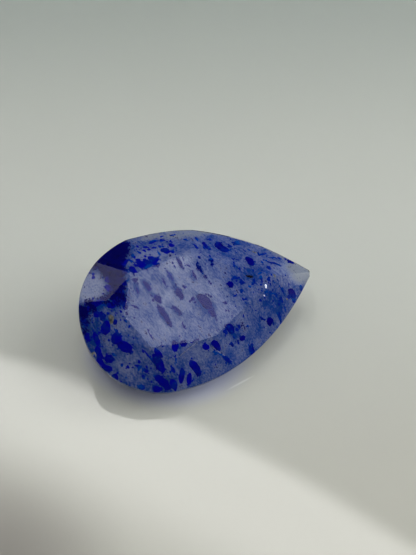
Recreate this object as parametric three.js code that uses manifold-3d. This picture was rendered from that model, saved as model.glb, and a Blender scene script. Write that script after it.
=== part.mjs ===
// A pear-cut gemstone of spotted blue stone, lying on its side facet as it came to rest.
// Millimetres, +Z up. +X runs along the stone towards its tip, and the floor is Z = 0.

import * as THREE from 'three';
import { mergeVertices } from 'three/addons/utils/BufferGeometryUtils.js';
import Module from 'manifold-3d';

const wasm = await Module();
wasm.setup();

// Driving dimensions. The cut is described with the table facet level, as a gem cutter draws it:
// the girdle's middle plane is z = 0, the crown is above it and the pavilion below.
const HEAD_END = -7.92;          // the round end of the girdle outline
const TIP_END = 8.22;            // the pointed end
const WIDEST_AT = -3.15;         // where the outline is widest
const HALF_WIDTH = 5.35;
const TIP_HALF_ANGLE = 46.8;     // degrees between the long axis and the outline at the tip
const TIP_BLUNT = 0.07;          // half width of the small flat worn on the tip
const GIRDLE_HALF = 0.18;        // half of the thin edge left between crown and pavilion
const TABLE_HEIGHT = 1.8;        // table facet over the girdle's middle plane
const REST_DEPTH = 3.33;         // side facet the stone lies on, measured square to that facet
const REST_SLOPE = 22.8;         // degrees between that facet and the girdle plane
const REST_AZIMUTH = -84;        // degrees from the tip, the way that facet looks
const CURVE_STEPS = 26;          // straight edges along each of the four outline curves
const STONE_COLOUR = 0x4a5f9e;
const BLOCK = 40;                // side of the cutting block, larger than the stone

// Facets that touch the girdle: the way they look and their slope from the girdle plane.
// Each is ground down until it just meets the outline at its own end of the girdle.
const CROWN_MAINS = [
  { azimuth: 180, slope: 32 },
  { azimuth: 140, slope: 31.6 },
  { azimuth: 113, slope: 33.5 },
  { azimuth: 87, slope: 33.6 },
  { azimuth: 61, slope: 32.4 },
  { azimuth: 46, slope: 39 },
];

// Small facets beside the table, each ground until its flat edge cuts the table at this distance.
const STARS = [
  { azimuth: 155.5, slope: 19, reach: 4.78 },
  { azimuth: 98, slope: 18, reach: 3.0 },
];

// Pavilion rings from the girdle down: steep facets under the girdle, then flatter ones.
const UPPER_PAVILION = { azimuths: [180, 152, 124, 97, 70, 47], slope: 46 };
const MIDDLE_PAVILION = { azimuths: [180, 138, 95, 57], slope: 40, inset: 0.75 };

// Half of the girdle outline from the head end to the tip: a broad curve round the head and a
// flatter one down the shoulder. The other half is its mirror image.
function outlineShape() {
  const headRun = WIDEST_AT - HEAD_END;
  const tipRun = TIP_END - WIDEST_AT;
  const angle = THREE.MathUtils.degToRad(TIP_HALF_ANGLE);
  const headRise = 0.78 * HALF_WIDTH;
  const headFlat = 0.21 * headRun;
  const shoulderFlat = 0.14 * tipRun;
  const tipReach = 0.70 * tipRun;
  const tipX = TIP_END - tipReach * Math.cos(angle);
  const tipY = TIP_BLUNT + tipReach * Math.sin(angle);

  const shape = new THREE.Shape();
  shape.moveTo(TIP_END, TIP_BLUNT);
  shape.bezierCurveTo(tipX, tipY, WIDEST_AT + shoulderFlat, HALF_WIDTH, WIDEST_AT, HALF_WIDTH);
  shape.bezierCurveTo(WIDEST_AT - headFlat, HALF_WIDTH, HEAD_END, headRise, HEAD_END, 0);
  shape.bezierCurveTo(HEAD_END, -headRise, WIDEST_AT - headFlat, -HALF_WIDTH, WIDEST_AT, -HALF_WIDTH);
  shape.bezierCurveTo(WIDEST_AT + shoulderFlat, -HALF_WIDTH, tipX, -tipY, TIP_END, -TIP_BLUNT);
  return shape;
}

// A direction in the girdle plane, turned this many degrees from the tip.
function heading(azimuth) {
  const angle = THREE.MathUtils.degToRad(azimuth);
  return new THREE.Vector2(Math.cos(angle), Math.sin(angle));
}

// How far the outline reaches in a direction.
function reachOf(outline, azimuth) {
  const direction = heading(azimuth);
  return Math.max(...outline.map((point) => point.dot(direction)));
}

function toSolid(geometry) {
  geometry.deleteAttribute('normal');
  geometry.deleteAttribute('uv');
  const merged = mergeVertices(geometry, 1e-5);
  return new wasm.Manifold(new wasm.Mesh({
    numProp: 3,
    vertProperties: new Float32Array(merged.attributes.position.array),
    triVerts: new Uint32Array(merged.index.array),
  }));
}

function toGeometry(solid) {
  const mesh = solid.getMesh();
  const geometry = new THREE.BufferGeometry();
  geometry.setAttribute('position', new THREE.BufferAttribute(new Float32Array(mesh.vertProperties), 3));
  geometry.setIndex(new THREE.BufferAttribute(new Uint32Array(mesh.triVerts), 1));
  return geometry;
}

// The outward normal of a facet. side is 1 on the crown and -1 on the pavilion.
function facetNormal(azimuth, slope, side) {
  const direction = heading(azimuth);
  const tilt = THREE.MathUtils.degToRad(slope);
  const flat = Math.sin(tilt);
  return new THREE.Vector3(direction.x * flat, direction.y * flat, side * Math.cos(tilt));
}

// Grinds one facet: everything beyond the plane through the point is cut away.
function grind(stone, point, normal) {
  const block = new THREE.BoxGeometry(BLOCK, BLOCK, BLOCK);
  block.translate(0, 0, BLOCK / 2);
  block.applyQuaternion(new THREE.Quaternion().setFromUnitVectors(new THREE.Vector3(0, 0, 1), normal));
  block.translate(point.x, point.y, point.z);
  return stone.subtract(toSolid(block));
}

// Grinds a facet of a given slope through the line at this reach and height.
function grindFacet(stone, azimuth, slope, side, reach, height) {
  const direction = heading(azimuth);
  const point = new THREE.Vector3(direction.x * reach, direction.y * reach, height);
  return grind(stone, point, facetNormal(azimuth, slope, side));
}

// Every facet off the long axis has a twin on the other side of it.
function withTwin(azimuth) {
  return azimuth === 180 ? [azimuth] : [azimuth, -azimuth];
}

function cutStone() {
  const shape = outlineShape();
  const outline = shape.getPoints(CURVE_STEPS);
  const preformDepth = 2 * REST_DEPTH;
  const preform = new THREE.ExtrudeGeometry(shape, {
    depth: preformDepth + TABLE_HEIGHT,
    bevelEnabled: false,
    curveSegments: CURVE_STEPS,
  });
  preform.translate(0, 0, -preformDepth);
  let stone = toSolid(preform);

  for (const { azimuth, slope } of CROWN_MAINS) {
    for (const way of withTwin(azimuth)) {
      stone = grindFacet(stone, way, slope, 1, reachOf(outline, way), GIRDLE_HALF);
    }
  }
  for (const { azimuth, slope, reach } of STARS) {
    for (const way of withTwin(azimuth)) {
      stone = grindFacet(stone, way, slope, 1, reach, TABLE_HEIGHT);
    }
  }
  for (const azimuth of UPPER_PAVILION.azimuths) {
    for (const way of withTwin(azimuth)) {
      stone = grindFacet(stone, way, UPPER_PAVILION.slope, -1, reachOf(outline, way), -GIRDLE_HALF);
    }
  }
  const drop = MIDDLE_PAVILION.inset * Math.tan(THREE.MathUtils.degToRad(UPPER_PAVILION.slope));
  for (const azimuth of MIDDLE_PAVILION.azimuths) {
    for (const way of withTwin(azimuth)) {
      const reach = reachOf(outline, way) - MIDDLE_PAVILION.inset;
      stone = grindFacet(stone, way, MIDDLE_PAVILION.slope, -1, reach, -GIRDLE_HALF - drop);
    }
  }
  for (const way of withTwin(REST_AZIMUTH)) {
    const normal = facetNormal(way, REST_SLOPE, -1);
    stone = grind(stone, normal.clone().multiplyScalar(REST_DEPTH), normal);
  }
  return toGeometry(stone);
}

const material = new THREE.MeshStandardMaterial({ color: STONE_COLOUR, roughness: 0.06, metalness: 0 });
const stone = new THREE.Mesh(cutStone(), material);
stone.name = 'gemstone';

// The stone lies on its front side facet: that facet's normal turns straight down, and the table
// leans forward by the facet's slope. Then the whole is centred over the origin.
const restNormal = facetNormal(REST_AZIMUTH, REST_SLOPE, -1);
stone.quaternion.setFromUnitVectors(restNormal, new THREE.Vector3(0, 0, -1));
stone.updateMatrixWorld(true);
const reach = new THREE.Box3().setFromObject(stone, true);
const middle = reach.getCenter(new THREE.Vector3());
stone.position.set(-middle.x, -middle.y, -reach.min.z);

const model = new THREE.Group();
model.add(stone);

export default model;
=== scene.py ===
# %% [markdown]
# # A pear-cut stone full of blue grains
#
# The real thing is one loose gemstone on a glossy pale surface. It is clear crystal with a milky
# haze in it and hundreds of dark blue mineral grains, cut with flat facets and polished.
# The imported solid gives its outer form. This lesson adds what the eye reads as stone: worn facet
# edges, see-through crystal that takes on colour with depth, haze, grains, flecks and soft light.

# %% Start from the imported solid
import math
import random

import bpy
from mathutils import Matrix, Vector
from mathutils.bvhtree import BVHTree


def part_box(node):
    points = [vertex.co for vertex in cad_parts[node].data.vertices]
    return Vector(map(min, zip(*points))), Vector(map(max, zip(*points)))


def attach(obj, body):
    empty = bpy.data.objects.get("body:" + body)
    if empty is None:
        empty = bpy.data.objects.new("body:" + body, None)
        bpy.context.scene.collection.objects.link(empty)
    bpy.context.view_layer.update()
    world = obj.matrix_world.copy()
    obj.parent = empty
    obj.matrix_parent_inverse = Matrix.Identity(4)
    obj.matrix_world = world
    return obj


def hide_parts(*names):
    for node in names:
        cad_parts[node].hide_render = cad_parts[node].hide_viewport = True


MM = 0.001
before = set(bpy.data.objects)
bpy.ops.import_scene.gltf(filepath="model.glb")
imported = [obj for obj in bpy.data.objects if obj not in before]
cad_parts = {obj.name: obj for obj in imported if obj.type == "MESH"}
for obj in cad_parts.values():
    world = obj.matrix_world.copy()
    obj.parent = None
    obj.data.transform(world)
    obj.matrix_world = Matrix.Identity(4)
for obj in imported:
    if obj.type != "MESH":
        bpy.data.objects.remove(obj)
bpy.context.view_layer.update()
low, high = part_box("gemstone")
print("stone size in mm", [round(side / MM, 2) for side in (high - low)])

# %% [markdown]
# ## The stone's own directions
#
# A cutter thinks in the stone's own directions: along it to the tip, across it, and up out of
# the table facet. The stone lies tilted on one pavilion facet, so these aren't the floor's
# directions. Places in the stone are given in millimetres along, across and up from the middle
# of its girdle, and a turn is in degrees from the way to the tip.

# %% The stone's own directions
RESTING_FACET_SLOPE = math.radians(22.8)
RESTING_FACET_AZIMUTH = math.radians(-84)
GIRDLE_MIDDLE = Vector((-0.151, -0.016, 3.33))

resting_facet = Vector((
    math.cos(RESTING_FACET_AZIMUTH) * math.sin(RESTING_FACET_SLOPE),
    math.sin(RESTING_FACET_AZIMUTH) * math.sin(RESTING_FACET_SLOPE),
    -math.cos(RESTING_FACET_SLOPE),
))
lie = resting_facet.rotation_difference(Vector((0, 0, -1))).to_matrix()
ALONG = lie @ Vector((1, 0, 0))
ACROSS = lie @ Vector((0, 1, 0))
UP = lie @ Vector((0, 0, 1))


def in_stone(along, across, up):
    """A place in the stone, in metres, from millimetres in its own directions."""
    return (GIRDLE_MIDDLE + ALONG * along + ACROSS * across + UP * up) * MM


def turned(degrees):
    """The stone's own directions, turned about its upright one."""
    return lie @ Matrix.Rotation(math.radians(degrees), 3, "Z")


print("the table looks towards", [round(part, 2) for part in UP])


# %% [markdown]
# ## Helpers for modelling
#
# Operators act on what is selected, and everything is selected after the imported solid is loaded.
# So each piece starts from nothing selected. A modifier could be left on its piece, but then a
# later step wouldn't see what it does, so each one is applied at once.

# %% Helpers for modelling
def deselect_all():
    if bpy.context.object and bpy.context.object.mode != "OBJECT":
        bpy.ops.object.mode_set(mode="OBJECT")
    bpy.ops.object.select_all(action="DESELECT")


def choose(*pieces):
    """Makes these the only selected objects, the first of them the active one."""
    deselect_all()
    for piece in pieces:
        piece.select_set(True)
    bpy.context.view_layer.objects.active = pieces[0]


def apply_modifier(piece, kind, **settings):
    choose(piece)
    modifier = piece.modifiers.new(kind.title(), kind)
    for name, value in settings.items():
        setattr(modifier, name, value)
    bpy.ops.object.modifier_apply(modifier=modifier.name)


def new_object(name, mesh):
    piece = bpy.data.objects.new(name, mesh)
    bpy.context.scene.collection.objects.link(piece)
    return piece


# %% [markdown]
# ## Helpers for materials
#
# A material is a tree of small nodes: textures make numbers, numbers mix colours, and colours go
# into a shader. Linking nodes by hand is clear in Blender's window, but in code a helper for each
# common kind keeps the lines short.

# %% Helpers for materials
def new_material(name):
    material = bpy.data.materials.new(name)
    material.use_nodes = True
    return material


def add_node(tree, kind, sockets, **settings):
    """One shader node. Each socket named here gets a value, or a link from another node's output."""
    node = tree.nodes.new("ShaderNode" + kind)
    for name, value in settings.items():
        setattr(node, name, value)
    for name, value in sockets.items():
        if isinstance(value, bpy.types.NodeSocket):
            tree.links.new(value, node.inputs[name])
        else:
            node.inputs[name].default_value = value
    return node


def mix_colours(tree, share, first, second):
    """A colour between two others. The share is the second one's."""
    node = tree.nodes.new("ShaderNodeMix")
    node.data_type = "RGBA"
    for number, value in ((0, share), (6, first), (7, second)):
        if isinstance(value, bpy.types.NodeSocket):
            tree.links.new(value, node.inputs[number])
        else:
            node.inputs[number].default_value = value
    return node.outputs[2]


def stretch(tree, value, start, end, at_start=0.0, at_end=1.0):
    """A value that changes softly between start and end, and stays the same beyond them."""
    return add_node(tree, "MapRange", {
        "Value": value, "From Min": start, "From Max": end, "To Min": at_start, "To Max": at_end,
    }, interpolation_type="SMOOTHSTEP").outputs["Result"]


def combine(tree, operation, first, second):
    return add_node(tree, "Math", {0: first, 1: second}, operation=operation).outputs["Value"]


def give(piece, material):
    """Puts a material on a piece, which rides on the root body."""
    piece.data.materials.clear()
    piece.data.materials.append(material)
    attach(piece, "root")


# %% [markdown]
# ## The camera
#
# The photograph looks down at 52 degrees over the surface, from the side that the table leans to.
# A long lens far away would flatten the stone. The real lens was close, so the near edge looks a
# little larger than the far one, and the camera here stands as close.

# %% The camera
PHOTO_HEIGHT_PIXELS = 555
FOCAL_PIXELS = 900
SENSOR = 36.0
VIEW_ELEVATION = math.radians(52)
VIEW_TURN = math.radians(-19.25)
CAMERA_PLACE = Vector((-11.243, -33.904, 51.670)) * MM

camera_data = bpy.data.cameras.new("camera")
camera_data.sensor_width = SENSOR
camera_data.lens = FOCAL_PIXELS / PHOTO_HEIGHT_PIXELS * SENSOR
camera_data.clip_start = 1 * MM
camera_data.clip_end = 10
camera = bpy.data.objects.new("camera", camera_data)
bpy.context.scene.collection.objects.link(camera)
camera.location = CAMERA_PLACE
camera.rotation_euler = (math.pi / 2 - VIEW_ELEVATION, 0, VIEW_TURN)
bpy.context.scene.camera = camera
print("lens", round(camera_data.lens, 1), "mm")

# %% [markdown]
# ## The surface
#
# The stone lies on something pale and glossy, like white glass. For its shape a plane will do,
# and its look is in the shader: a smooth surface that mirrors the stone's side, over a pale body
# that light soaks into a little, which softens the shadow. Its light and shade aren't even, and
# they are painted into its colour, laid over one another by their place on the plane: painted
# shade from near to far in three steps, a painted shadow in the near left corner, painted blue
# light where light comes through the stone, and one thin painted line of light.

# %% The surface
FLOOR_WIDTH = 4
SOAK_DEPTH = 4 * MM

deselect_all()
bpy.ops.mesh.primitive_plane_add(size=FLOOR_WIDTH, location=(0, 0, 0))
floor = bpy.context.object
floor.name = "surface"
floor_material = new_material("glossy_surface")
floor.data.materials.append(floor_material)
floor_tree = floor_material.node_tree
floor_shader = floor_tree.nodes["Principled BSDF"]
floor_shader.inputs["Roughness"].default_value = 0.01
floor_shader.inputs["IOR"].default_value = 1.5
floor_shader.subsurface_method = "BURLEY"
floor_shader.inputs["Subsurface Weight"].default_value = 1.0
floor_shader.inputs["Subsurface Radius"].default_value = (1, 1, 1)
floor_shader.inputs["Subsurface Scale"].default_value = SOAK_DEPTH
print("surface", FLOOR_WIDTH, "m wide")

# %% Painted shade on the surface
VIEW = Matrix.Rotation(VIEW_TURN, 3, "Z")
NEAREST_SHADE = -18 * MM
FARTHEST_SHADE = 46 * MM
# Painted shade: the surface's colour is lighter in the middle and darker near and far, where less light
# falls.
PAINTED_SURFACE_SHADES = (
    (0.03, (0.465, 0.465, 0.410, 1)),
    (0.42, (0.505, 0.525, 0.480, 1)),
    (1.00, (0.325, 0.360, 0.330, 1)),
)
# Painted shadow: the surface's colour darkens towards a spot at the near left.
NEAR_LEFT_CORNER = VIEW @ Vector((-13 * MM, -19 * MM, 0))
DARKEST_SHADOW_WITHIN = 3 * MM
PAINTED_SHADOW_WITHIN = 11 * MM
CORNER_SHADOW_COLOUR = (0.27, 0.26, 0.235, 1)

floor_place = add_node(floor_tree, "TexCoord", {}).outputs["Object"]
away = add_node(
    floor_tree, "VectorMath", {0: floor_place, 1: VIEW @ Vector((0, 1, 0))}, operation="DOT_PRODUCT"
)
near_to_far = add_node(floor_tree, "MapRange", {
    "Value": away.outputs["Value"], "From Min": NEAREST_SHADE, "From Max": FARTHEST_SHADE,
})
ramp = add_node(floor_tree, "ValToRGB", {"Fac": near_to_far.outputs["Result"]})
ramp.color_ramp.interpolation = "EASE"
ramp.color_ramp.elements.new(0.5)
for element, (position, colour) in zip(ramp.color_ramp.elements, PAINTED_SURFACE_SHADES):
    element.position = position
    element.color = colour
corner = add_node(floor_tree, "VectorMath", {0: floor_place, 1: NEAR_LEFT_CORNER}, operation="DISTANCE")
painted_corner_shadow = stretch(floor_tree, corner.outputs["Value"], DARKEST_SHADOW_WITHIN, PAINTED_SHADOW_WITHIN, at_start=1, at_end=0)
shaded = mix_colours(floor_tree, painted_corner_shadow, ramp.outputs["Color"], CORNER_SHADOW_COLOUR)
print("shades on the surface", len(ramp.color_ramp.elements))


# %% Painted light from the stone on the surface
def painted_oval(middle, slant, half_length, half_width, full_within, none_beyond, strength=1):
    """An oval patch of painted light: its strength in the middle, and nothing beyond its edge.

    The middle is to the right and away in the photograph, in millimetres, as the sizes are. The
    light starts to fade and ends at two shares of those sizes.
    """
    oval = add_node(floor_tree, "Mapping", {
        "Vector": floor_place,
        "Location": VIEW @ Vector((middle[0] * MM, middle[1] * MM, 0)),
        "Rotation": (0, 0, VIEW_TURN + math.radians(slant)),
        "Scale": (half_length * MM, half_width * MM, 1),
    }, vector_type="TEXTURE")
    reach = add_node(floor_tree, "VectorMath", {0: oval.outputs["Vector"]}, operation="LENGTH")
    return stretch(
        floor_tree, reach.outputs["Value"], full_within, none_beyond, at_start=strength, at_end=0
    )


# Painted light in the surface's colour: bluer and lighter just under the stone.
PAINTED_BLUE_LIGHT = (0.48, 0.51, 0.64, 1)
PAINTED_LINE_OF_LIGHT = (0.80, 0.82, 0.78, 1)
painted_blue_share = painted_oval(
    middle=(-2.3, -1.7), slant=-8, half_length=6.8, half_width=5.2, full_within=0.62, none_beyond=0.93
)
# Painted line of light: one thin bright streak in the surface's colour.
painted_line_share = painted_oval(
    middle=(2.72, -4.28), slant=31.5, half_length=1.35, half_width=0.11,
    full_within=0.2, none_beyond=1, strength=0.4,
)
with_painted_blue = mix_colours(floor_tree, painted_blue_share, shaded, PAINTED_BLUE_LIGHT)
with_painted_light = mix_colours(floor_tree, painted_line_share, with_painted_blue, PAINTED_LINE_OF_LIGHT)
floor_tree.links.new(with_painted_light, floor_shader.inputs["Base Color"])
print("surface nodes", len(floor_tree.nodes))


# %% [markdown]
# ## The light
#
# A polished facet mirrors one small patch of the room, so where the lights stand decides which
# facets shine. The table mirrors a soft light overhead, and the facet at the round end mirrors a
# second one behind it. All the other facets mirror dark places, which keeps the grains under them
# deep blue. A large light at the right is mirrored by no facet that the camera sees: it brightens
# the surface and the inside of the stone, and gives the soft shadow on the left. One almost
# straight above lights the milk. The surface is glossy too, and mirrors a long light behind. Point
# lights would do for the shadows, but a mirror shows the size of a lamp, so all of them are area
# lights.

# %% The lights
def add_light(name, place, slant, width, depth, brightness, colour):
    """A level rectangular light over the stone, brightness being what a mirror of it would show.

    The place is the way to its middle in the photograph: right, away and up, in metres.
    """
    data = bpy.data.lights.new(name, "AREA")
    data.shape = "RECTANGLE"
    data.size = width
    data.size_y = depth
    data.energy = brightness * math.pi * width * depth
    data.color = colour
    light = bpy.data.objects.new(name, data)
    bpy.context.scene.collection.objects.link(light)
    light.location = VIEW @ Vector(place)
    light.rotation_euler = (0, 0, math.radians(slant) + VIEW_TURN)
    return light


def aim(light):
    """Turns a light to face the stone."""
    light.rotation_euler = light.location.to_track_quat("Z", "Y").to_euler()


add_light(
    "overhead_light", place=(0.098, -0.181, 0.6), slant=-38,
    width=0.42, depth=0.36, brightness=1.35, colour=(0.96, 0.97, 1),
)
aim(add_light(
    "end_light", place=(-0.45, 0.27, 0.46), slant=0,
    width=0.4, depth=0.34, brightness=0.8, colour=(0.94, 0.93, 1),
))
aim(add_light(
    "right_light", place=(0.31, 0.04, 0.20), slant=0,
    width=0.3, depth=0.3, brightness=3.8, colour=(1, 1, 1),
))
back_light = add_light(
    "back_light", place=(-0.0063, 0.2408, 0.6), slant=-27.6,
    width=0.75, depth=0.16, brightness=5.0, colour=(1, 0.99, 0.96),
)
add_light(
    "top_light", place=(-0.090, -0.006, 0.55), slant=0,
    width=0.25, depth=0.37, brightness=4.0, colour=(1, 1, 1),
)


# %% A soft edge for the long light
def fade_edges(light, rise, fall, bow_middle, bow):
    """Lets a light fade in and out over two shares of its depth. Its far edge is bowed."""
    light.data.use_nodes = True
    tree = light.data.node_tree
    spot = add_node(tree, "NewGeometry", {}).outputs["Parametric"]
    share = add_node(tree, "SeparateXYZ", {"Vector": spot})
    off_middle = combine(tree, "SUBTRACT", share.outputs["X"], bow_middle)
    bowed = combine(tree, "MULTIPLY", combine(tree, "MULTIPLY", off_middle, off_middle), bow)
    near = stretch(tree, share.outputs["Y"], *rise)
    far = stretch(tree, combine(tree, "ADD", share.outputs["Y"], bowed), *fall, at_start=1, at_end=0)
    tree.links.new(combine(tree, "MULTIPLY", near, far), tree.nodes["Emission"].inputs["Strength"])


fade_edges(back_light, rise=(0.05, 0.60), fall=(0.86, 1.0), bow_middle=0.468, bow=1.8)
print("long light nodes", len(back_light.data.node_tree.nodes))

# %% The room
ROOM_COLOUR = (0.9, 0.95, 1, 1)
ROOM_BRIGHTNESS = 0.02

world = bpy.data.worlds.new("room")
world.use_nodes = True
background = world.node_tree.nodes["Background"]
background.inputs["Color"].default_value = ROOM_COLOUR
background.inputs["Strength"].default_value = ROOM_BRIGHTNESS
bpy.context.scene.world = world
bpy.context.scene.view_settings.view_transform = "Standard"
bpy.context.scene.cycles.volume_bounces = 8
print("room brightness", ROOM_BRIGHTNESS)

# %% [markdown]
# ## The cut stone
#
# A cut stone is all flat facets that meet in crisp edges, but its tip is worn round. The packed
# solid is loose triangles, so a copy of it is merged, and its flat facets are joined back into
# single faces. A bevel could round the tip, but it would need the whole corner to be one edge.
# Seven cuts, each a touch further round, take it off as a cutter would on the wheel.

# %% The cut stone
MERGE_WITHIN = 0.002 * MM
FLAT_WITHIN = math.radians(0.5)
TIP_MIDDLE = 7.66
TIP_RADIUS = 0.45
TIP_CUTS = (-33, -22, -11, 0, 11, 22, 33)

stone = new_object("pear_stone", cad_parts["gemstone"].data.copy())
choose(stone)
bpy.ops.object.mode_set(mode="EDIT")
bpy.ops.mesh.select_all(action="SELECT")
bpy.ops.mesh.remove_doubles(threshold=MERGE_WITHIN)
bpy.ops.mesh.dissolve_limited(angle_limit=FLAT_WITHIN)
for turn in TIP_CUTS:
    side = math.radians(turn)
    bpy.ops.mesh.select_all(action="SELECT")
    bpy.ops.mesh.bisect(
        plane_co=in_stone(TIP_MIDDLE + TIP_RADIUS * math.cos(side), TIP_RADIUS * math.sin(side), 0),
        plane_no=ALONG * math.cos(side) + ACROSS * math.sin(side),
        use_fill=True, clear_outer=True,
    )
bpy.ops.object.mode_set(mode="OBJECT")
print("facets", len(stone.data.polygons))

# %% [markdown]
# ### Worn edges
#
# No real edge is perfectly sharp: it catches a hair of light. A very small bevel gives that. It is
# shaded smooth only where it turns by a few degrees, so the facets stay flat. The form before the
# bevel is kept twice: as a copy for the haze, and as a search tree, to find the facet over a grain.

# %% Worn edges
EDGE_WEAR = 0.012 * MM
WORN_FROM = math.radians(8)
SMOOTH_BELOW = math.radians(7)

cut_form = stone.data.copy()
facets = BVHTree.FromPolygons(
    [vertex.co.copy() for vertex in cut_form.vertices],
    [tuple(face.vertices) for face in cut_form.polygons],
)
apply_modifier(
    stone, "BEVEL", width=EDGE_WEAR, segments=1, limit_method="ANGLE", angle_limit=WORN_FROM
)
bpy.ops.object.shade_smooth_by_angle(angle=SMOOTH_BELOW)
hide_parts("gemstone")
print("polished stone", len(stone.data.polygons), "faces")

# %% [markdown]
# ## The crystal
#
# Clear crystal could be drawn with a plain glass shader, but the stone takes on colour with depth.
# So its shader transmits, bends light by its index of refraction, and has a tint that volume
# absorption deepens. Real polish isn't perfect, so very fine scratches run over it in the bump
# and in the roughness.

# %% The crystal
CRYSTAL_IOR = 1.5
SCRATCH_SIZE = (4 * MM, 0.2 * MM, 2 * MM)
SCRATCH_DEPTH = 0.01 * MM
CRYSTAL_TINT = (0.25, 0.48, 0.98, 1)
TINT_DENSITY = 230

crystal = new_material("spotted_crystal")
tree = crystal.node_tree
shader = tree.nodes["Principled BSDF"]
shader.inputs["Base Color"].default_value = (1, 1, 1, 1)
shader.inputs["IOR"].default_value = CRYSTAL_IOR
shader.inputs["Transmission Weight"].default_value = 1.0
place = add_node(tree, "TexCoord", {}).outputs["Object"]
scratch_way = add_node(tree, "Mapping", {
    "Vector": place, "Rotation": lie.to_euler(), "Scale": SCRATCH_SIZE,
}, vector_type="TEXTURE").outputs["Vector"]
scratches = add_node(tree, "TexNoise", {"Vector": scratch_way, "Scale": 1, "Detail": 4}).outputs["Fac"]
roughness = stretch(tree, scratches, 0.45, 0.75, at_start=0.01, at_end=0.04)
tree.links.new(roughness, shader.inputs["Roughness"])
polish = add_node(tree, "Bump", {"Height": scratches, "Strength": 0.02, "Distance": SCRATCH_DEPTH})
tree.links.new(polish.outputs["Normal"], shader.inputs["Normal"])
absorb = add_node(tree, "VolumeAbsorption", {"Color": CRYSTAL_TINT, "Density": TINT_DENSITY})
tree.links.new(absorb.outputs["Volume"], tree.nodes["Material Output"].inputs["Volume"])
give(stone, crystal)
print("crystal", [node.name for node in tree.nodes])

# %% [markdown]
# ## The milk in the stone
#
# The stone isn't evenly coloured. Milky veins and blue pigment run through it in streaks, all
# slanting one way, with lacy edges. The tip and the far rim are nearly clear, the facet at the
# round end is milkiest, and some places are full of pigment. Noise alone would put these anywhere,
# so soft patches make it more or less milky, clear or navy here and there. Each row is along,
# across, half length, half width, turn and strength.

# %% Patches in the stone
MILKY_ZONES = (
    (-1.2, 0.2, 4.2, 3.2, 0, 0.16),
    (-6.7, 2.6, 1.1, 1.2, 0, 0.45),
    (-0.9, 2.4, 1.6, 0.9, 0, 0.14),
    (-3.4, -1.5, 2.0, 0.9, -20, 0.12),
    (1.1, 0.6, 1.0, 1.3, 0, 0.12),
    (2.4, 0.6, 1.2, 1.0, 0, -0.12),
    (3.8, 0.4, 1.2, 1.0, 0, -0.10),
    (1.6, -1.6, 1.4, 0.7, 0, 0.10),
    (-0.2, 4.6, 3.2, 0.6, -8, -0.08),
    (-2.2, 3.7, 1.3, 0.9, 0, 0.20),
    (-0.6, 2.6, 1.4, 0.5, 15, 0.24),
    (-1.2, -3.6, 0.9, 0.5, 0, 0.14),
    (-5.5, -0.4, 0.6, 0.9, 0, 0.10),
    (-2.3, 0.4, 0.4, 0.9, -60, 0.22),
    (6.3, 0.2, 1.3, 1.0, 0, 0.24),
    (-7.4, -0.2, 0.7, 2.4, 0, -0.16),
    (-4.4, -4.8, 1.8, 0.6, 0, -0.10),
    (-5.2, 1.3, 0.9, 0.9, 0, -0.45),
    (-6.6, 1.3, 1.2, 0.4, 5, -0.40),
    (2.9, 3.0, 1.8, 0.9, -10, -0.06),
    (4.8, -1.4, 1.2, 1.1, 0, -0.20),
    (1.4, -2.7, 0.8, 0.5, -30, -0.16),
    (-5.00, -3.40, 0.65, 0.50, -40, -0.20),
    (-5.60, -3.00, 1.00, 0.60, -40, 0.20),
    (-3.30, 1.40, 0.65, 0.25, -76, -0.40),
    (-2.90, 0.55, 0.50, 0.30, -60, -0.40),
    (-2.75, -0.70, 1.05, 0.28, -77, -0.60),
    (-1.40, 0.60, 0.60, 0.30, -70, -0.50),
    (-1.60, 1.65, 0.85, 0.22, -80, -0.35),
    (0.05, -0.65, 0.95, 0.55, -60, -0.50),
    (-0.10, -1.00, 0.90, 0.75, -66, -0.25),
    (-0.75, 2.45, 0.60, 0.20, -80, -0.40),
    (-0.20, 1.35, 0.50, 0.25, -83, -0.40),
    (-2.50, 1.80, 0.50, 0.35, -60, -0.25),
    (-3.95, 1.50, 0.60, 0.18, -92, -0.30),
    (-1.85, -0.60, 0.55, 0.22, -62, -0.45),
    (0.45, 1.75, 0.60, 0.16, -76, -0.35),
)
CLEAR_ZONES = (
    (7.8, 0.2, 1.6, 1.1, 0, 0.85),
    (0.2, 5.0, 3.8, 0.7, -8, 0.52),
    (6.4, 1.8, 1.6, 0.4, -40, 0.4),
)
NAVY_ZONES = (
    (-4.75, 4.45, 1.6, 1.0, 20, 1.0),
    (-4.95, 2.85, 0.80, 1.2, 0, 1.0),
    (-6.90, 1.45, 1.3, 0.5, 5, 0.50),
    (-5.40, 1.30, 0.8, 0.7, -30, 0.50),
    (-7.60, 0.50, 0.4, 1.2, 0, 0.42),
)
print("patches", len(MILKY_ZONES), len(CLEAR_ZONES), len(NAVY_ZONES))

# %% [markdown]
# ### A map of the stone
#
# The haze and the grains both depend on where they are. Each could have its own noise, but then
# they wouldn't agree. So one node group works out, for every place in the stone, how milky, how
# clear and how navy it is, and each material asks it and mixes its own colours. A row of the map
# is a name, its patches, its share of the streaks, and the sums where it starts and is full.

# %% A map of the stone
GRAIN_SLANT = -68
STREAK_SIZE = (1.3 * MM, 0.65 * MM, 0.7 * MM)
LACE_FINENESS = 6.5
VEIN_STRENGTH = 1.2
LACE_STRENGTH = 1.1
PATCH_HEIGHT = 3.5 * MM
FULL_WITHIN = 0.5
NONE_BEYOND = 1.3
MAP_ROWS = (
    ("Milk", MILKY_ZONES, 1, 0.80, 1.95),
    ("Clear", CLEAR_ZONES, 0.9, 1.04, 1.90),
    ("Navy", NAVY_ZONES, 2, 2.67, 2.85),
)

stone_map = bpy.data.node_groups.new("stone_map", "ShaderNodeTree")
stone_map.interface.new_socket("Place", in_out="INPUT", socket_type="NodeSocketVector")
for name, *_ in MAP_ROWS:
    stone_map.interface.new_socket(name, in_out="OUTPUT", socket_type="NodeSocketFloat")
map_start = stone_map.nodes.new("NodeGroupInput")
map_end = stone_map.nodes.new("NodeGroupOutput")


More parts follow.
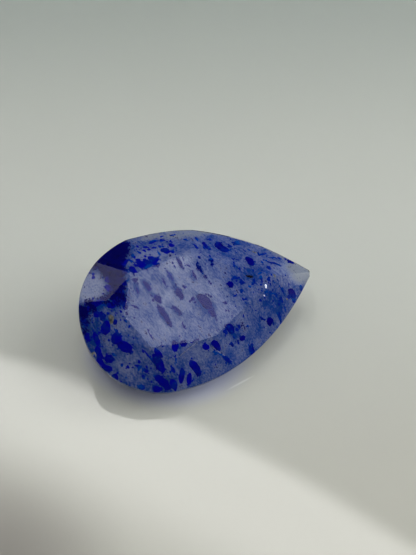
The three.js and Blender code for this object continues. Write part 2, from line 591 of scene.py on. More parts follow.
def add_zones(zones):
    """The sum of soft round patches, each with its strength in its middle."""
    total = 0.0
    for along, across, half_length, half_width, turn, strength in zones:
        patch = add_node(stone_map, "Mapping", {
            "Vector": map_start.outputs["Place"],
            "Location": in_stone(along, across, 0),
            "Rotation": turned(turn).to_euler(),
            "Scale": (half_length * MM, half_width * MM, PATCH_HEIGHT),
        }, vector_type="TEXTURE")
        reach = add_node(stone_map, "VectorMath", {0: patch.outputs["Vector"]}, operation="LENGTH")
        amount = stretch(
            stone_map, reach.outputs["Value"], FULL_WITHIN, NONE_BEYOND, at_start=strength, at_end=0
        )
        total = combine(stone_map, "ADD", total, amount)
    return total


streaks = add_node(stone_map, "Mapping", {
    "Vector": map_start.outputs["Place"],
    "Rotation": turned(GRAIN_SLANT).to_euler(),
    "Scale": STREAK_SIZE,
}, vector_type="TEXTURE").outputs["Vector"]
veins = add_node(stone_map, "TexNoise", {
    "Vector": streaks, "Scale": 1, "Detail": 7, "Roughness": 0.66, "Distortion": 0.5,
}).outputs["Fac"]
lace = add_node(stone_map, "TexNoise", {
    "Vector": streaks, "Scale": LACE_FINENESS, "Detail": 4, "Roughness": 0.65,
}).outputs["Fac"]
mottled = combine(
    stone_map, "ADD",
    combine(stone_map, "MULTIPLY", veins, VEIN_STRENGTH),
    combine(stone_map, "MULTIPLY", lace, LACE_STRENGTH),
)
for name, zones, share, start, end in MAP_ROWS:
    own_mottle = combine(stone_map, "MULTIPLY", mottled, share)
    amount = combine(stone_map, "ADD", own_mottle, add_zones(zones))
    stone_map.links.new(stretch(stone_map, amount, start, end), map_end.inputs[name])
print("stone map nodes", len(stone_map.nodes))


# %% Asking the map
def ask_map(tree):
    """How milky, clear and navy each place on a surface is, and the place itself."""
    place = add_node(tree, "TexCoord", {}).outputs["Object"]
    group = add_node(tree, "Group", {}, node_tree=stone_map)
    tree.links.new(place, group.inputs["Place"])
    return group.outputs["Milk"], group.outputs["Clear"], group.outputs["Navy"], place


# %% [markdown]
# ## The haze
#
# Milk in crystal is light scattered by countless tiny bubbles. A coat of paint under the polish
# would look flat, so the haze is a volume that fills the stone, with its own body just under the
# polished surface. What lies right at the surface is seen sharp, like the cut face of a slice:
# there the body's own skin is part solid, coloured by the map, and thinner where the stone is clear.

# %% The body of the haze
HAZE_DEPTH = 0.05 * MM

haze = new_object("milky_haze", cut_form)
choose(haze)
bpy.ops.object.mode_set(mode="EDIT")
bpy.ops.mesh.select_all(action="SELECT")
bpy.ops.transform.shrink_fatten(value=-HAZE_DEPTH, use_even_offset=True)
bpy.ops.object.mode_set(mode="OBJECT")
haze_material = new_material("milky_haze")
give(haze, haze_material)
print("haze", len(haze.data.polygons), "faces")

# %% The skin of the haze
PIGMENT = (0.004, 0.075, 0.45, 1)
MILK = (0.58, 0.65, 0.88, 1)
PALE = (0.64, 0.70, 0.76, 1)
NAVY = (0.0004, 0.001, 0.16, 1)
CROWN_COVER = 0.74
PAVILION_COVER = 0.12
COVER_FADE = 0.9 * MM
COVER_WHERE_CLEAR = 0.7

haze_tree = haze_material.node_tree
milk, clear, navy, place = ask_map(haze_tree)
skin = haze_tree.nodes["Principled BSDF"]
skin.inputs["Roughness"].default_value = 1.0
skin.inputs["Specular IOR Level"].default_value = 0.0
skin_colour = mix_colours(haze_tree, clear, mix_colours(haze_tree, milk, PIGMENT, MILK), PALE)
haze_tree.links.new(mix_colours(haze_tree, navy, skin_colour, NAVY), skin.inputs["Base Color"])
height = add_node(haze_tree, "VectorMath", {0: place, 1: UP}, operation="DOT_PRODUCT").outputs["Value"]
girdle = in_stone(0, 0, 0).dot(UP)
side_cover = stretch(haze_tree, height, girdle - COVER_FADE, girdle, PAVILION_COVER, CROWN_COVER)
cover = combine(
    haze_tree, "MULTIPLY", side_cover, stretch(haze_tree, clear, 0, 1, at_start=1, at_end=COVER_WHERE_CLEAR)
)
haze_tree.links.new(combine(haze_tree, "MAXIMUM", cover, navy), skin.inputs["Alpha"])
print("skin nodes", len(haze_tree.nodes))

# %% The inside of the haze
HAZE_COLOUR = (0.62, 0.80, 1, 1)
HAZE_DENSITY = 800
PIGMENT_TINT = (0.0, 0.25, 0.98, 1)
PIGMENT_DENSITY = 220
SHARE_WHERE_CLEAR = 0.3

thinning = stretch(haze_tree, clear, 0, 1, at_start=1, at_end=SHARE_WHERE_CLEAR)
scatter = add_node(haze_tree, "VolumeScatter", {
    "Color": HAZE_COLOUR, "Density": combine(haze_tree, "MULTIPLY", thinning, HAZE_DENSITY),
})
pigment = add_node(haze_tree, "VolumeAbsorption", {
    "Color": PIGMENT_TINT, "Density": combine(haze_tree, "MULTIPLY", thinning, PIGMENT_DENSITY),
})
both = add_node(haze_tree, "AddShader", {0: scatter.outputs["Volume"], 1: pigment.outputs["Volume"]})
haze_tree.links.new(both.outputs["Shader"], haze_tree.nodes["Material Output"].inputs["Volume"])
haze_material.cycles.volume_step_rate = 0.5
print("haze nodes", len(haze_tree.nodes))


# %% [markdown]
# ## The grains
#
# Each grain is a lump of deep blue mineral, flattened and a little drawn out, with a broken
# outline. Modelling every one by hand would take days, so a few lumps are made once and copied.
# A lump starts as a ball whose corners are pushed about with a fixed seed. The large grains are
# subdivided with more roughness, and the smallest, which are copied most, have twenty faces.

# %% Lump shapes
RAGGED_SHAPES = 7
SMALL_SHAPES = 8
CRUMB_SHAPES = 5


def fill_unit(lump):
    """Resizes a lump so that it is just one unit long, wide and thick."""
    choose(lump)
    bpy.ops.object.mode_set(mode="EDIT")
    bpy.ops.mesh.select_all(action="SELECT")
    bpy.ops.transform.resize(value=[1 / side for side in lump.dimensions])
    bpy.ops.object.mode_set(mode="OBJECT")


def make_lump(name, subdivisions, jitter, seed):
    deselect_all()
    bpy.ops.mesh.primitive_ico_sphere_add(subdivisions=subdivisions, radius=0.5)
    lump = bpy.context.object
    lump.name = name
    bpy.ops.object.mode_set(mode="EDIT")
    bpy.ops.mesh.select_all(action="SELECT")
    bpy.ops.transform.vertex_random(offset=jitter, uniform=0.7, normal=0.3, seed=seed)
    bpy.ops.mesh.vertices_smooth(factor=0.3)
    bpy.ops.object.mode_set(mode="OBJECT")
    fill_unit(lump)
    return lump


def make_ragged_lump(name, seed):
    lump = make_lump(name, subdivisions=1, jitter=0.17, seed=seed)
    bpy.ops.object.mode_set(mode="EDIT")
    bpy.ops.mesh.select_all(action="SELECT")
    bpy.ops.mesh.subdivide(number_cuts=1, smoothness=0.9, fractal=2.2, seed=seed)
    bpy.ops.mesh.subdivide(number_cuts=1, smoothness=0.4, fractal=3.2, seed=seed + 5)
    bpy.ops.object.mode_set(mode="OBJECT")
    fill_unit(lump)
    return lump


ragged_lumps = [make_ragged_lump(f"ragged_lump_{n}", seed=5 + 7 * n) for n in range(RAGGED_SHAPES)]
small_lumps = [
    make_lump(f"small_lump_{n}", subdivisions=2, jitter=0.14, seed=3 + 11 * n)
    for n in range(SMALL_SHAPES)
]
crumbs = [
    make_lump(f"crumb_{n}", subdivisions=1, jitter=0.16, seed=2 + 5 * n) for n in range(CRUMB_SHAPES)
]
print("lump faces", [len(lump.data.polygons) for lump in (ragged_lumps[0], small_lumps[0], crumbs[0])])

# %% [markdown]
# ### Laying a grain in the stone
#
# The grains that are seen sharp lie right under the polish, and the wheel has cut them flush with
# it. A boolean would cut them too, but slowly and not cleanly. Here a ray from over the place
# finds the facet, the copy is laid along it at its depth, and whatever would stand out is moved
# back under the polish.

# %% Laying a grain in the stone
CLEAR_SKIN = 0.03 * MM
FACING_OUT = 0.3
FAR_OUTSIDE = 9
STEEPEST = 0.6
rng = random.Random(12)


def keep_inside(mesh, dent):
    """Grinds a lump flush, just under the polished surface. Dents in its top, up to a depth, are filled."""
    ways = [vertex.normal.copy() for vertex in mesh.vertices]
    for vertex, way in zip(mesh.vertices, ways):
        place, normal, _, _ = facets.find_nearest(vertex.co)
        above = (vertex.co - place).dot(normal) + CLEAR_SKIN
        if above > 0 or (above > -dent and way.dot(normal) > FACING_OUT):
            vertex.co = place - normal * CLEAR_SKIN


def surface_over(along, across, side=1):
    """The polished surface over a place in the stone, and the way it faces. Side -1 is the pavilion."""
    hit, normal, _, _ = facets.ray_cast(in_stone(along, across, FAR_OUTSIDE * side), -UP * side)
    return hit, normal


def lump_at(shape, along, across, depth, length, width, thickness, turn, side=1, dent=0):
    """One copy of a lump under the surface, lying along it. All sizes are in millimetres.

    The length and the width are as seen from over the table, so a lump on a sloping facet is longer.
    Where there is no stone it makes nothing.
    """
    hit, normal = surface_over(along, across, side)
    if hit is None:
        return None
    heading = ALONG * math.cos(math.radians(turn)) + ACROSS * math.sin(math.radians(turn))
    facing = math.copysign(max(abs(UP.dot(normal)), STEEPEST), UP.dot(normal))
    lengthwise, widthwise = (
        way - UP * (way.dot(normal) / facing) for way in (heading, UP.cross(heading) * side)
    )
    pose = Matrix((lengthwise, widthwise, normal)).transposed().to_4x4()
    size = Matrix.Diagonal((length * MM, width * MM, thickness * MM, 1))
    mesh = shape.data.copy()
    mesh.transform(Matrix.Translation(hit - normal * depth * MM) @ pose @ size)
    keep_inside(mesh, dent * MM)
    return new_object("grain", mesh)


print("the polish over the grains is", CLEAR_SKIN / MM, "mm deep")

# %% [markdown]
# ### The grains that the eye goes to
#
# The eye knows the stone by its large grains, so chance may not place these. Each is given where
# it lies in the stone: along, across, length, width, turn and depth under the crown.
# All but a few lie slanting across the stone. Those under the table are long and narrow, and the
# navy ones near the round end run together into one dark mass.

# %% The large grains
LARGE_GRAINS = (
    (-6.05, -1.25, 0.95, 0.70, -90, 0.08),
    (-5.95, -0.80, 0.40, 0.18, -80, 0.08),
    (-5.70, -1.85, 1.15, 0.65, -40, 0.08),
    (-5.50, -2.15, 0.50, 0.30, -60, 0.08),
    (-6.50, -0.30, 0.95, 0.70, -90, 0.10),
    (-6.50, 0.45, 0.80, 0.45, -95, 0.12),
    (-6.80, 0.75, 0.55, 0.45, -40, 0.12),
    (-6.60, 1.40, 1.40, 0.45, 5, 0.10),
    (-7.45, 1.25, 0.90, 0.50, -80, 0.10),
    (-7.60, 0.60, 0.85, 0.35, -80, 0.10),
    (-7.70, -0.45, 0.70, 0.34, -82, 0.08),
    (-7.20, -0.75, 1.10, 0.36, -90, 0.10),
    (-7.30, -1.65, 1.00, 0.45, -85, 0.10),
    (-7.35, -2.25, 0.80, 0.45, -70, 0.08),
    (-6.75, -2.25, 0.70, 0.55, -60, 0.12),
    (-7.00, -2.75, 0.70, 0.40, -30, 0.08),
    (-6.65, -3.40, 0.50, 0.36, -45, 0.06),
    (-5.35, 1.20, 1.25, 0.75, -60, 0.10),
    (-5.75, 0.95, 0.70, 0.45, -20, 0.14),
    (-4.95, 1.60, 1.00, 0.40, -85, 0.10),
    (-5.05, 0.60, 0.80, 0.35, -95, 0.14),
    (-5.20, -4.50, 0.50, 0.30, -30, 0.10),
    (-4.20, -3.30, 2.00, 0.14, -60, 0.08),
    (-3.85, -3.50, 1.40, 0.55, -70, 0.08),
    (-3.80, -2.95, 0.75, 0.32, -60, 0.10),
    (-4.05, -3.35, 0.80, 0.35, -65, 0.10),
    (-3.35, -2.60, 0.55, 0.22, -10, 0.20),
    (-2.65, -2.80, 0.75, 0.45, -95, 0.08),
    (-2.10, -2.75, 0.50, 0.42, -60, 0.08),
    (-1.30, -2.75, 0.60, 0.12, 12, 0.08),
    (-1.65, -4.35, 1.20, 0.55, -70, 0.08),
    (-2.60, -4.60, 1.00, 0.40, -108, 0.08),
    (-2.15, -4.85, 0.75, 0.38, -100, 0.08),
    (-3.10, -4.10, 0.50, 0.32, -60, 0.14),
    (-2.80, -3.60, 0.50, 0.15, -100, 0.14),
    (-4.10, -4.30, 0.60, 0.42, -60, 0.08),
    (-3.85, -4.70, 0.80, 0.55, -60, 0.08),
    (-3.65, -4.95, 0.60, 0.45, -40, 0.06),
    (-3.20, -4.95, 0.75, 0.45, -75, 0.06),
    (-4.30, -4.90, 0.70, 0.40, -20, 0.08),
    (-0.70, -3.30, 0.55, 0.38, -40, 0.10),
    (0.05, -3.40, 0.85, 0.44, -58, 0.08),
    (0.15, -3.95, 0.60, 0.10, -40, 0.08),
    (0.50, -4.30, 0.90, 0.30, -48, 0.08),
    (1.15, -2.60, 0.75, 0.60, -70, 0.10),
    (0.80, -2.75, 0.40, 0.30, -60, 0.14),
    (1.70, -2.75, 0.28, 0.20, 0, 0.12),
    (1.95, -3.30, 0.48, 0.35, 30, 0.08),
    (2.50, -4.20, 0.80, 0.42, -75, 0.06),
    (4.15, -2.60, 0.58, 0.54, -80, 0.08),
    (4.95, -2.50, 0.72, 0.26, -80, 0.08),
    (3.65, -2.40, 0.32, 0.20, -20, 0.12),
    (3.60, -2.75, 0.40, 0.20, -80, 0.25),
    (2.50, -2.65, 0.20, 0.18, 0, 0.08),
    (6.35, -1.20, 0.80, 0.52, -46, 0.05),
    (6.00, -1.40, 0.42, 0.30, 0, 0.05),
    (6.35, -1.65, 0.42, 0.28, -40, 0.04),
    (6.15, -0.65, 0.32, 0.18, -90, 0.16),
    (7.15, -0.90, 0.38, 0.28, -80, 0.05),
    (7.05, 1.05, 0.60, 0.32, -30, 0.06),
    (5.15, 1.95, 0.70, 0.20, 0, 0.12),
    (5.65, 1.05, 1.20, 0.20, -35, 0.14),
    (5.80, 1.55, 0.60, 0.14, 0, 0.12),
    (6.30, 1.45, 0.42, 0.20, -20, 0.10),
    (6.75, 1.35, 0.20, 0.16, 0, 0.06),
    (3.95, 1.55, 0.85, 0.62, -100, 0.07),
    (4.40, 2.45, 0.25, 0.20, 0, 0.14),
    (3.70, 3.15, 0.60, 0.28, 0, 0.08),
    (2.40, 3.25, 0.70, 0.62, -60, 0.05),
    (2.65, 2.90, 0.80, 0.55, -25, 0.05),
    (3.20, 3.05, 0.36, 0.22, -30, 0.10),
    (1.45, 3.45, 0.68, 0.34, -72, 0.08),
    (1.35, 2.20, 0.40, 0.26, -20, 0.08),
    (1.30, 1.85, 0.30, 0.20, 0, 0.16),
    (2.10, 0.20, 0.52, 0.44, -60, 0.10),
    (2.85, 0.15, 0.40, 0.26, -10, 0.08),
    (2.50, 0.55, 0.54, 0.20, -10, 0.08),
    (3.70, 0.05, 0.44, 0.16, -100, 0.08),
    (3.50, -0.15, 0.30, 0.14, 10, 0.10),
    (4.20, 0.45, 0.36, 0.15, 0, 0.10),
    (4.20, 0.15, 0.42, 0.24, -90, 0.10),
    (4.65, -0.10, 0.34, 0.24, -50, 0.10),
    (4.30, -0.85, 0.20, 0.15, -80, 0.08),
    (4.60, -0.95, 0.42, 0.24, -20, 0.12),
    (2.70, -1.00, 0.32, 0.12, -20, 0.12),
    (2.10, -0.60, 0.30, 0.14, 10, 0.08),
    (-2.50, 3.35, 0.50, 0.40, -60, 0.08),
    (-2.40, 3.05, 0.95, 0.45, 12, 0.08),
    (-2.80, 2.75, 0.70, 0.30, 12, 0.08),
    (-3.30, 3.20, 0.36, 0.30, -60, 0.10),
    (-2.95, 3.20, 0.26, 0.22, 0, 0.08),
    (-1.35, 3.65, 0.65, 0.54, -65, 0.08),
    (-0.75, 4.00, 0.44, 0.34, -30, 0.08),
    (-0.95, 3.45, 0.34, 0.26, -70, 0.08),
    (-0.70, 4.35, 0.20, 0.16, 0, 0.08),
    (-1.80, 4.65, 0.64, 0.30, 5, 0.06),
    (-1.25, 4.60, 0.32, 0.28, 0, 0.06),
    (-1.95, 4.15, 0.28, 0.20, 0, 0.08),
    (-1.80, 3.60, 0.42, 0.16, -85, 0.10),
    (-3.85, 2.85, 0.62, 0.46, -70, 0.08),
    (-3.70, 3.55, 0.55, 0.18, -60, 0.08),
    (-3.30, 3.45, 0.32, 0.28, 0, 0.10),
    (-2.25, 2.75, 0.50, 0.30, 10, 0.08),
    (-3.15, 2.95, 0.75, 0.42, 10, 0.06),
    (-2.80, 3.15, 0.60, 0.32, -20, 0.06),
    (-3.55, 3.10, 0.30, 0.22, -60, 0.08),
    (-3.45, 3.85, 0.50, 0.20, -70, 0.08),
    (-3.00, 4.05, 0.40, 0.18, -60, 0.08),
    (-2.75, 3.60, 0.30, 0.20, -60, 0.08),
    (-2.45, 4.35, 0.36, 0.20, -20, 0.06),
    (-1.55, 4.10, 0.24, 0.16, -60, 0.08),
    (-5.15, -3.30, 0.40, 0.24, -50, 0.06),
    (-4.80, -3.65, 0.46, 0.22, -40, 0.06),
    (-5.00, -3.95, 0.30, 0.20, -70, 0.06),
    (0.75, 3.55, 0.32, 0.18, -70, 0.08),
    (0.30, 4.20, 0.40, 0.16, -30, 0.08),
    (1.10, 4.10, 0.34, 0.18, -60, 0.08),
    (-0.40, 4.85, 0.40, 0.14, 0, 0.06),
    (-1.10, 4.95, 0.30, 0.14, 10, 0.06),
    (2.00, 3.85, 0.36, 0.16, -20, 0.08),
    (5.55, -0.95, 0.40, 0.20, -60, 0.08),
    (5.00, -1.15, 0.36, 0.22, -70, 0.08),
    (3.75, 3.25, 0.46, 0.30, -10, 0.08),
    (1.65, 3.10, 0.34, 0.22, -60, 0.12),
    (5.30, -1.50, 0.50, 0.30, -50, 0.14),
    (-0.20, -3.75, 0.40, 0.16, -40, 0.12),
    (-5.80, -3.10, 0.30, 0.20, -40, 0.14),
)
print("large grains", len(LARGE_GRAINS))

# %% The grains under the table and the navy mass
TABLE_GRAINS = (
    (-3.90, 2.05, 0.50, 0.40, -60, 0.12),
    (-3.95, 1.40, 0.95, 0.22, -95, 0.14),
    (-3.25, 1.45, 1.15, 0.38, -76, 0.12),
    (-2.90, 0.55, 0.85, 0.48, -60, 0.12),
    (-2.75, -0.70, 1.80, 0.40, -77, 0.10),
    (-1.85, -0.55, 0.90, 0.26, -62, 0.08),
    (-1.75, -1.65, 0.55, 0.14, -80, 0.10),
    (-1.40, 0.50, 1.00, 0.45, -70, 0.10),
    (-1.60, 1.65, 1.50, 0.30, -80, 0.14),
    (-0.95, 0.85, 0.36, 0.20, -70, 0.08),
    (-2.10, 1.45, 0.60, 0.14, -85, 0.08),
    (-0.75, 2.45, 1.05, 0.28, -80, 0.08),
    (-0.45, 2.60, 0.80, 0.12, -85, 0.14),
    (-1.15, 2.35, 0.60, 0.14, -78, 0.14),
    (-0.05, 1.40, 0.80, 0.18, -80, 0.08),
    (-0.20, 2.10, 0.30, 0.15, -60, 0.10),
    (0.40, 1.75, 1.00, 0.26, -76, 0.10),
    (0.75, 0.75, 0.36, 0.18, -80, 0.12),
    (0.15, -0.50, 1.45, 0.70, -60, 0.08),
    (0.25, -1.30, 0.90, 0.55, -75, 0.16),
    (-0.60, -0.10, 0.50, 0.40, 0, 0.14),
    (-4.35, 0.35, 0.60, 0.20, -45, 0.10),
    (-3.95, -1.75, 0.75, 0.10, -75, 0.08),
    (1.25, -0.85, 0.30, 0.12, -30, 0.10),
)
NAVY_LUMPS = (
    (-5.45, 4.20, 1.2, 0.7, 30, 0.09),
    (-4.90, 4.30, 1.7, 1.1, 20, 0.10),
    (-4.15, 4.60, 1.5, 0.9, 20, 0.10),
    (-3.75, 4.95, 0.8, 0.5, 20, 0.08),
    (-4.60, 3.65, 1.6, 1.1, 0, 0.10),
    (-4.95, 3.35, 1.1, 0.9, -40, 0.09),
    (-4.75, 2.95, 1.2, 0.9, -30, 0.10),
    (-5.20, 2.60, 1.2, 0.8, -45, 0.09),
    (-5.50, 2.05, 0.9, 0.6, -30, 0.10),
    (-4.80, 2.30, 0.9, 0.6, -30, 0.09),
    (-5.15, 1.55, 0.9, 0.5, -60, 0.10),
    (-5.00, 1.00, 0.9, 0.4, -80, 0.10),
)
print("under the table", len(TABLE_GRAINS), "in the navy mass", len(NAVY_LUMPS))


# %% Placing the large grains
def splinters_round(along, across, length, width, turn):
    """Small splinters along the edge of a grain, pointing roughly its way."""
    heading = math.radians(turn)
    splinters = []
    for _ in range(round(1 + 3 * length)):
        way = rng.uniform(0, 2 * math.pi)
        run = length / 2 * rng.uniform(0.8, 1.2) * math.cos(way)
        aside = width / 2 * rng.uniform(0.8, 1.4) * math.sin(way)
        splinter = lump_at(
            rng.choice(small_lumps),
            along=along + run * math.cos(heading) - aside * math.sin(heading),
            across=across + run * math.sin(heading) + aside * math.cos(heading),
            depth=rng.uniform(0.05, 0.12), length=rng.uniform(0.1, 0.3),
            width=rng.uniform(0.08, 0.18), thickness=0.12, turn=turn + rng.gauss(0, 25),
        )
        if splinter:
            splinters.append(splinter)
    return splinters


RAGGED_ABOVE = 0.24
THICK_ABOVE = 0.3
DENT_DEPTH = 0.06
LEAST_THICKNESS = 0.2
THICKNESS_BY_WIDTH = 0.3
thick = []
thin = []
for row in LARGE_GRAINS + TABLE_GRAINS + NAVY_LUMPS:
    along, across, length, width, turn, depth = row
    shape = rng.choice(ragged_lumps if width > RAGGED_ABOVE else small_lumps)
    dent = 0 if row in TABLE_GRAINS else DENT_DEPTH
    thickness = LEAST_THICKNESS + THICKNESS_BY_WIDTH * width
    grain = lump_at(shape, along, across, depth, length, width, thickness, turn, dent=dent)
    (thick if width > THICK_ABOVE else thin).append(grain)
    thin += splinters_round(along, across, length, width, turn)
print("thick", len(thick), "thin, with splinters", len(thin))

# %% [markdown]
# ### Where the grains crowd
#
# The rest are too many to place one by one, so they are strewn by a seeded rule. They crowd at the
# round end and along the lower edge, thin out to the tip, and leave the far rim and the table
# almost clear. Each row of a crowd is along, across, reach and strength. Many grains lie just
# under the polished surface, above and below, and the others are deeper in the haze, where they
# look pale.

# %% Where the grains crowd
CROWDS = (
    (-6.9, 0.6, 1.5, 1.0),
    (-7.0, -1.5, 1.3, 0.9),
    (-5.1, 1.3, 0.7, 1.0),
    (-4.6, -4.3, 1.4, 0.9),
    (-2.3, 4.0, 1.0, 1.0),
    (3.4, 0.1, 1.3, 0.9),
    (2.9, 3.0, 1.1, 0.6),
    (4.8, -1.4, 1.1, 0.7),
    (1.4, -2.9, 1.0, 0.5),
    (4.6, 1.6, 1.1, 0.7),
    (1.2, 3.3, 0.8, 0.5),
    (-3.3, 3.6, 0.7, 1.0),
    (-4.9, -3.6, 0.7, 0.9),
)
IN_THE_OPEN = 0.1
IN_QUIET_PLACES = 0.15
TABLE_MIDDLE = (-1.3, 0.1)
TABLE_REACH = (3.2, 2.4)
FAR_RIM_FROM = 3.9
FAR_RIM_TO_TIP_FROM = -0.9
TIP_FADE_FROM = 5.4
TIP_FADE_LENGTH = 1.4
TIP_FADE = 0.85


def crowding(along, across):
    """How likely a grain is at a place: low in the open, 1 in a crowd, and lowest in quiet places."""
    spread = [
        strength * math.exp(-((along - x) ** 2 + (across - y) ** 2) / reach ** 2)
        for x, y, reach, strength in CROWDS
    ]
    at_tip = 1 - TIP_FADE * max(0, min(1, (along - TIP_FADE_FROM) / TIP_FADE_LENGTH))
    on_far_rim = across > FAR_RIM_FROM and along > FAR_RIM_TO_TIP_FROM
    under_table = 1 > math.hypot(
        (along - TABLE_MIDDLE[0]) / TABLE_REACH[0], (across - TABLE_MIDDLE[1]) / TABLE_REACH[1]
    )
    likely = min(1, IN_THE_OPEN + sum(spread)) * at_tip
    likely *= IN_QUIET_PLACES if on_far_rim else 1
    likely *= IN_QUIET_PLACES if under_table else 1
    return likely


print("likely in a crowd", round(crowding(-6.9, 0.6), 2), "and under the table", round(crowding(-1, 0), 2))


# %% Strewn grains
STREWN_ALONG = (-7.8, 8.0)
STREWN_ACROSS = (-5.3, 5.3)
SLANT_SPREAD = 24
PAVILION = -1


def strew(shapes, count, smallest, largest, deepest, side=1):
    """Copies of small lumps where grains crowd: mostly short, mostly near the surface of a side."""
    strewn = []
    while len(strewn) < count:
        along = rng.uniform(*STREWN_ALONG)
        across = rng.uniform(*STREWN_ACROSS)
        if rng.random() > crowding(along, across):
            continue
        length = smallest * (largest / smallest) ** (rng.random() ** 1.6)
        width = length * rng.uniform(0.45, 0.85)
        thickness = length * rng.uniform(0.35, 0.6)
        depth = thickness / 3 + deepest * rng.random() ** 3
        turn = rng.gauss(GRAIN_SLANT, SLANT_SPREAD)
        grain = lump_at(rng.choice(shapes), along, across, depth, length, width, thickness, turn, side)
        if grain:
            strewn.append(grain)
    return strewn


thin += strew(small_lumps, count=260, smallest=0.14, largest=0.4, deepest=0.4)
thick += strew(small_lumps, count=200, smallest=0.2, largest=0.8, deepest=0.6, side=PAVILION)
thin += strew(crumbs, count=900, smallest=0.05, largest=0.16, deepest=0.1)
thin += strew(crumbs, count=200, smallest=0.1, largest=0.25, deepest=0.1, side=PAVILION)
print("with the strewn ones: thick", len(thick), "thin", len(thin))


# %% Joining the grains
def join(pieces, name):
    choose(*pieces)
    bpy.ops.object.join()
    joined = bpy.context.object
    joined.name = name
    bpy.ops.object.shade_smooth()
    return joined


for shape in ragged_lumps + small_lumps:
    bpy.data.objects.remove(shape)
thick_grains = join(thick, "thick_grains")
thin_grains = join(thin, "thin_grains")
print("grain faces", len(thick_grains.data.polygons), len(thin_grains.data.polygons))

# %% [markdown]
# ### The colour of the grains
#
# No two grains have the same blue. A thick grain is deep blue, a thin one lets light through and
# is brighter, and a noise over the stone varies both. A volume in each grain would give this by
# itself, but slowly, so the colour is laid on the surface. Where the table cuts a grain open it
# shows its dark heart, and the mass at the round end is nearly black.

# %% The colour of the grains
HEART_BLUE = (0.0006, 0.002, 0.21, 1)
MOTTLE_FINENESS = 1600
CUT_OPEN_FROM = 0.05 * MM
CUT_OPEN_AT = 0.035 * MM
CUT_OPEN_SHARE = 0.85
table_height = surface_over(0, 0)[0].dot(UP)


def add_grain_material(name, at_round_end, at_tip, brightest):
    material = new_material(name)
    tree = material.node_tree
    shader = tree.nodes["Principled BSDF"]
    navy, place = ask_map(tree)[2:]
    along = add_node(tree, "VectorMath", {0: place, 1: ALONG}, operation="DOT_PRODUCT").outputs["Value"]
    height = add_node(tree, "VectorMath", {0: place, 1: UP}, operation="DOT_PRODUCT").outputs["Value"]
    mottle = add_node(
        tree, "TexNoise", {"Vector": place, "Scale": MOTTLE_FINENESS, "Detail": 5}
    ).outputs["Fac"]
    near_table = stretch(
        tree, height, table_height - CUT_OPEN_FROM, table_height - CUT_OPEN_AT, at_end=CUT_OPEN_SHARE
    )
    towards_tip = stretch(tree, along, 1.2 * MM, 2 * MM, at_start=1, at_end=0)
    cut_open = combine(tree, "MULTIPLY", near_table, towards_tip)
    blue = mix_colours(tree, stretch(tree, along, -4 * MM, 4 * MM), at_round_end, at_tip)
    blue = mix_colours(tree, stretch(tree, mottle, 0.46, 0.64), blue, brightest)
    blue = mix_colours(tree, cut_open, blue, HEART_BLUE)
    tree.links.new(mix_colours(tree, navy, blue, NAVY), shader.inputs["Base Color"])
    shader.inputs["Roughness"].default_value = 0.6
    shader.inputs["Specular IOR Level"].default_value = 0.0
    return material


give(thick_grains, add_grain_material(
    "thick_grain", at_round_end=(0.0002, 0.001, 0.48, 1), at_tip=(0.0002, 0.001, 0.28, 1),
    brightest=(0.0003, 0.020, 0.38, 1),
))
give(thin_grains, add_grain_material(
    "thin_grain", at_round_end=(0.0002, 0.006, 0.46, 1), at_tip=(0.0003, 0.022, 0.38, 1),
    brightest=(0.0004, 0.075, 0.48, 1),
))
print("grain materials", thick_grains.data.materials[0].name, thin_grains.data.materials[0].name)
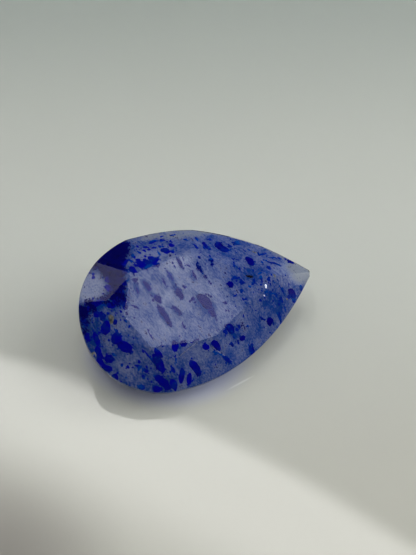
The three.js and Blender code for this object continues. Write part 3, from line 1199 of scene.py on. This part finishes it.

# %% [markdown]
# ## Flecks
#
# A few flecks aren't blue: rusty stains, one dark spot, two bright ones where a tiny crack throws
# the light back, and two thin pale lines. They are crumbs too, and only their colour differs. The
# bright ones are painted glints: they glow a little, because a mirror that small would only make
# noise. Each row is along, across, length, width and turn.

# %% The flecks
RUST_FLECKS = (
    (-6.00, 0.18, 0.42, 0.32, 90),
    (-5.98, -0.14, 0.36, 0.30, 0),
    (-7.60, -1.65, 0.36, 0.26, -70),
    (5.15, 0.05, 0.26, 0.16, -80),
    (4.70, 2.20, 0.34, 0.12, -40),
    (5.80, -1.50, 0.18, 0.14, 0),
)
DARK_FLECKS = (
    (3.45, 0.45, 0.30, 0.16, -10),
    (3.60, 0.36, 0.26, 0.18, 0),
    (3.30, 0.52, 0.16, 0.10, 0),
)
PALE_LINES = (
    (-1.95, -3.20, 1.40, 0.05, 21),
    (0.25, -3.90, 1.80, 0.04, -42),
)
# Painted glints: white flecks that glow a little.
GLINT_FLECKS = (
    (4.35, -0.50, 0.28, 0.15, 80),
    (4.10, -1.05, 0.16, 0.06, -60),
)
FLECK_DEPTH = 0.05
FLECK_THICKNESS = 0.14
STAIN_FINENESS = 6000
STAIN_SHADE = 0.6


def add_flecks(name, rows, colour, roughness, glow=0):
    flecks = [
        lump_at(rng.choice(crumbs), along, across, FLECK_DEPTH, length, width, FLECK_THICKNESS, turn)
        for along, across, length, width, turn in rows
    ]
    piece = join(flecks, name)
    material = new_material(name)
    tree = material.node_tree
    shader = tree.nodes["Principled BSDF"]
    place = add_node(tree, "TexCoord", {}).outputs["Object"]
    stain = add_node(tree, "TexNoise", {"Vector": place, "Scale": STAIN_FINENESS, "Detail": 2})
    stained = stretch(tree, stain.outputs["Fac"], 0.4, 0.6)
    darker = [part * STAIN_SHADE for part in colour[:3]] + [1]
    tree.links.new(mix_colours(tree, stained, darker, colour), shader.inputs["Base Color"])
    shader.inputs["Roughness"].default_value = roughness
    shader.inputs["Specular IOR Level"].default_value = 0.1
    shader.inputs["Emission Color"].default_value = colour
    shader.inputs["Emission Strength"].default_value = glow
    give(piece, material)
    print(name, len(flecks))


add_flecks("rust_flecks", RUST_FLECKS, colour=(0.36, 0.36, 0.33, 1), roughness=0.7)
add_flecks("dark_flecks", DARK_FLECKS, colour=(0.01, 0.01, 0.02, 1), roughness=0.5)
# Painted glints: these flecks glow instead of mirroring a lamp.
add_flecks("painted_glints", GLINT_FLECKS, colour=(0.95, 0.97, 1, 1), roughness=0.3, glow=0.75)
add_flecks("pale_lines", PALE_LINES, colour=(0.42, 0.46, 0.60, 1), roughness=0.6)
for shape in crumbs:
    bpy.data.objects.remove(shape)
